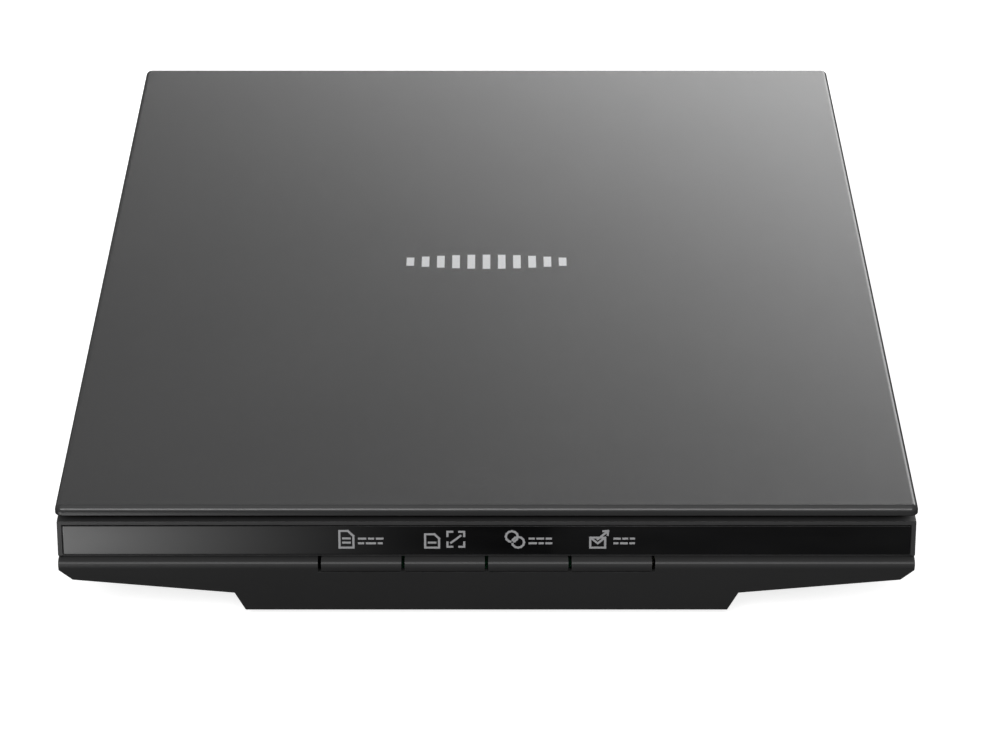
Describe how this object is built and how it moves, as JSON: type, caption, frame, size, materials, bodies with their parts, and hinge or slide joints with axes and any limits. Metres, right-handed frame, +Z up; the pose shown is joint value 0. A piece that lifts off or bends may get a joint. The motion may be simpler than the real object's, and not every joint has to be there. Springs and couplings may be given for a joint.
{
  "type": "flatbed scanner",
  "caption": "slim flatbed document scanner with a lifting hinged lid, front push buttons, glass platen and a rack-driven sensor carriage on a guide rod",
  "frame": {"origin": "on the surface that the scanner stands on, under the middle of its lid", "axes": "+X to the right, +Y from the button edge to the hinge edge, +Z up"},
  "size_m": [0.25, 0.368, 0.042],
  "materials": {
    "case_plastic": "fine moulded texture, near-black charcoal",
    "lid_plastic": "satin dark charcoal, fine grain",
    "gloss_panel": "piano-black gloss",
    "inner_plastic": "dark grey moulded plastic",
    "clear_glass": "clear float glass with a faint green edge",
    "white_sheet": "matte white sheet",
    "grey_foam": "closed-cell foam",
    "bright_steel": "plated steel",
    "brass": "turned brass",
    "acetal": "natural acetal",
    "foot_rubber": "soft black rubber",
    "circuit_board": "green solder resist",
    "chip_black": "black moulded package",
    "white_plastic": "white flexible and moulded plastic"
  },
  "bodies": {
    "base": {"base_case": "case_plastic", "top_frame": "case_plastic", "platen_glass": "clear_glass", "calibration_strip": "white_sheet", "front_strip": "gloss_panel", "foot_front_left": "foot_rubber", "foot_front_right": "foot_rubber", "foot_back_left": "foot_rubber", "foot_back_right": "foot_rubber", "case_screw_front_left": "bright_steel", "case_screw_front_right": "bright_steel", "case_screw_back_left": "bright_steel", "case_screw_back_right": "bright_steel", "button_board": "circuit_board", "button_switch_1": "chip_black", "button_switch_2": "chip_black", "button_switch_3": "chip_black", "button_switch_4": "chip_black", "main_board": "circuit_board", "controller_chip": "chip_black", "driver_chip": "chip_black", "ribbon_connector": "white_plastic", "usb_port": "bright_steel", "ribbon_cable": "white_plastic", "guide_rod": "bright_steel", "drive_rack": "acetal"},
    "button_1": {"button_1": "case_plastic"},
    "button_2": {"button_2": "case_plastic"},
    "button_3": {"button_3": "case_plastic"},
    "button_4": {"button_4": "case_plastic"},
    "carriage": {"carriage_frame": "inner_plastic", "carriage_bush": "brass", "drive_motor": "bright_steel", "gear_axle": "bright_steel", "sensor_spring_left": "bright_steel", "sensor_spring_right": "bright_steel"},
    "reduction_gear": {"compound_gear": "acetal"},
    "motor_gear": {"motor_pinion": "brass"},
    "sensor": {"sensor_housing": "chip_black", "sensor_window": "clear_glass", "lens_array": "inner_plastic", "light_guide": "white_plastic", "sensor_led": "white_plastic", "sensor_board": "circuit_board", "glide_pad_left": "acetal", "glide_pad_right": "acetal"},
    "hinge_legs": {"hinge_leg_left": "inner_plastic", "hinge_leg_right": "inner_plastic", "hinge_pin_left": "bright_steel", "hinge_pin_right": "bright_steel"},
    "lid": {"lid_cover": "lid_plastic", "lid_liner": "inner_plastic", "document_mat": "white_sheet", "lid_foam": "grey_foam", "lid_hinge_left": "inner_plastic", "lid_hinge_right": "inner_plastic"}
  },
  "joints": [
    {"name": "hinge_lift", "type": "slide", "parent": "base", "child": "hinge_legs", "axis": [0, 0, 1], "range_m": [0, 0.012]},
    {"name": "lid_hinge", "type": "hinge", "parent": "hinge_legs", "child": "lid", "pos_m": [0, 0.1805, 0.036], "axis": [-1, 0, 0], "range_deg": [0, 90]},
    {"name": "carriage_slide", "type": "slide", "parent": "base", "child": "carriage", "axis": [0, 1, 0], "range_m": [0, 0.3]},
    {"name": "reduction_spin", "type": "hinge", "parent": "carriage", "child": "reduction_gear", "pos_m": [0.038, -0.144, 0.01], "axis": [0, 0, 1], "range_deg": [-2870, 5]},
    {"name": "motor_spin", "type": "hinge", "parent": "carriage", "child": "motor_gear", "pos_m": [0.022, -0.132, 0.012], "axis": [0, 0, 1], "range_deg": [-5, 8600]},
    {"name": "sensor_float", "type": "slide", "parent": "carriage", "child": "sensor", "axis": [0, 0, 1], "range_m": [-0.0008, 0], "stiffness_N_per_m": 600, "springref_m": 0.004, "deforming": ["sensor_spring_left", "sensor_spring_right"]},
    {"name": "button_1_press", "type": "slide", "parent": "base", "child": "button_1", "axis": [0, 1, 0], "range_m": [0, 0.0008], "stiffness_N_per_m": 900, "springref_m": -0.0006},
    {"name": "button_2_press", "type": "slide", "parent": "base", "child": "button_2", "axis": [0, 1, 0], "range_m": [0, 0.0008], "stiffness_N_per_m": 900, "springref_m": -0.0006},
    {"name": "button_3_press", "type": "slide", "parent": "base", "child": "button_3", "axis": [0, 1, 0], "range_m": [0, 0.0008], "stiffness_N_per_m": 900, "springref_m": -0.0006},
    {"name": "button_4_press", "type": "slide", "parent": "base", "child": "button_4", "axis": [0, 1, 0], "range_m": [0, 0.0008], "stiffness_N_per_m": 900, "springref_m": -0.0006}
  ],
  "couplings": [
    {"joint": "reduction_spin", "follows": "carriage_slide", "rad_per_m": -166.67},
    {"joint": "motor_spin", "follows": "carriage_slide", "rad_per_m": 500}
  ]
}
